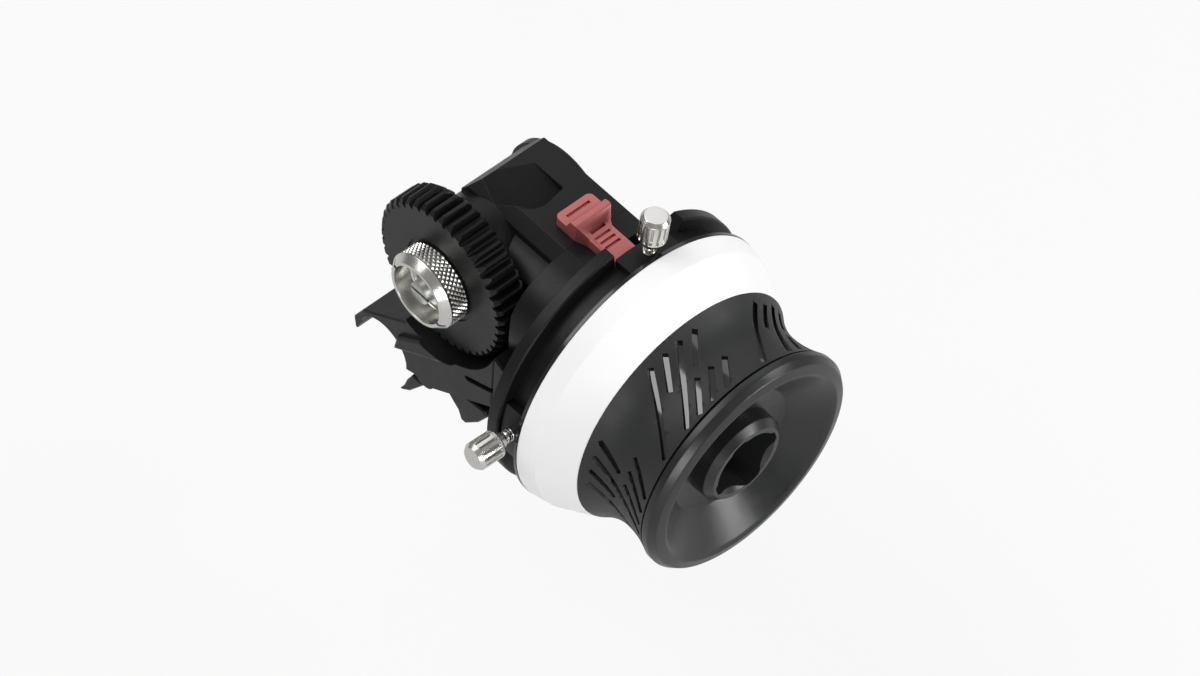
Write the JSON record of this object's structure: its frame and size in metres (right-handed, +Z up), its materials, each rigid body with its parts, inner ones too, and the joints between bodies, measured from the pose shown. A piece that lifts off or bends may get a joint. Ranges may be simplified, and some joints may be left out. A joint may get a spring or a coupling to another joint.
{
  "type": "follow focus unit",
  "caption": "Rod-mounted follow focus: clamp for one 15 mm rod, right-angle gearbox with a drive gear, hand wheel with a white marking disc, hard stops and a latch.",
  "frame": {"origin": "on the axis of the 15 mm rod that the clamp grips, at the middle of the clamp's width", "axes": "+Y along the rod towards the camera body, +X along the hand wheel's axis towards the operator, +Z up"},
  "size_m": [0.0946, 0.072, 0.0811],
  "materials": {
    "black_anodised": "bead-blasted black anodised",
    "black_satin": "turned satin black anodised",
    "gear_plastic": "moulded black, semi-matt",
    "black_rubber": "moulded black rubber",
    "white_plastic": "matt white, writable",
    "red_anodised": "satin red anodised",
    "nickel_plate": "turned, nickel plated",
    "satin_steel": "turned steel",
    "bevel_steel": "cut steel",
    "bush_bronze": "sintered bronze",
    "spring_steel": "drawn wire",
    "black_screw": "black oxide"
  },
  "bodies": {
    "gearbox": {"gearbox_housing": "black_anodised", "wheel_collar": "black_anodised", "stop_track": "black_anodised", "rear_cap": "black_anodised", "collar_screws": "black_screw", "rear_cap_screws": "black_screw", "wheel_bearing_inner": "satin_steel", "wheel_bearing_outer": "satin_steel", "gear_bearing_inner": "satin_steel", "gear_bearing_outer": "satin_steel", "gear_shaft_bush": "bush_bronze", "jaw_pin": "satin_steel", "jaw_spring": "spring_steel", "latch_spring": "spring_steel"},
    "handwheel": {"wheel_shaft": "satin_steel", "wheel_bevel_gear": "bevel_steel", "wheel_core": "black_anodised", "wheel_stop_pin": "satin_steel", "marking_disc": "white_plastic", "grip_sleeve": "black_rubber", "front_dial": "black_satin", "socket_boss": "black_satin", "hub_screw": "black_screw"},
    "gear_train": {"gear_shaft": "satin_steel", "shaft_bevel_gear": "bevel_steel", "drive_gear": "gear_plastic"},
    "nut": {"gear_nut": "nickel_plate"},
    "latch": {"latch_slide": "red_anodised", "latch_bolt": "satin_steel"},
    "jaw": {"clamp_jaw": "black_anodised"},
    "stop_a": {"stop_a_slider": "black_anodised"},
    "stop_a_screw": {"stop_a_thumbscrew": "nickel_plate"},
    "stop_b": {"stop_b_slider": "black_anodised"},
    "stop_b_screw": {"stop_b_thumbscrew": "nickel_plate"}
  },
  "joints": [
    {"name": "handwheel_spin", "type": "hinge", "parent": "gearbox", "child": "handwheel", "pos_m": [0.06, 0, 0.036], "axis": [1, 0, 0], "range_deg": [-118, 118]},
    {"name": "drive_gear_spin", "type": "hinge", "parent": "gearbox", "child": "gear_train", "pos_m": [0.0138, 0, 0.036], "axis": [0, 1, 0], "range_deg": [-120, 120]},
    {"name": "gear_nut_turn", "type": "hinge", "parent": "gear_train", "child": "nut", "pos_m": [0.0138, -0.018, 0.036], "axis": [0, -1, 0], "range_deg": [0, 360]},
    {"name": "latch_travel", "type": "slide", "parent": "gearbox", "child": "latch", "axis": [-1, 0, 0], "range_m": [0, 0.003], "stiffness_N_per_m": 200, "springref_m": -0.003, "deforming": ["latch_spring"]},
    {"name": "clamp_jaw_swing", "type": "hinge", "parent": "gearbox", "child": "jaw", "pos_m": [0.0128, 0, 0.0056], "axis": [0, -1, 0], "range_deg": [0, 25], "stiffness_Nm_per_rad": 0.04, "springref_deg": -34.38},
    {"name": "stop_a_travel", "type": "hinge", "parent": "gearbox", "child": "stop_a", "pos_m": [0.0515, 0, 0.036], "axis": [1, 0, 0], "range_deg": [0, 30]},
    {"name": "stop_a_screw_turn", "type": "hinge", "parent": "stop_a", "child": "stop_a_screw", "pos_m": [0.0515, 0.00355, 0.06981], "axis": [0, 0.1045, 0.9945], "range_deg": [0, 180]},
    {"name": "stop_b_travel", "type": "hinge", "parent": "gearbox", "child": "stop_b", "pos_m": [0.0515, 0, 0.036], "axis": [1, 0, 0], "range_deg": [-30, 0]},
    {"name": "stop_b_screw_turn", "type": "hinge", "parent": "stop_b", "child": "stop_b_screw", "pos_m": [0.0515, -0.03392, 0.03837], "axis": [0, -0.9976, 0.0698], "range_deg": [0, 180]}
  ],
  "couplings": [
    {"joint": "drive_gear_spin", "follows": "handwheel_spin", "ratio": -1}
  ]
}
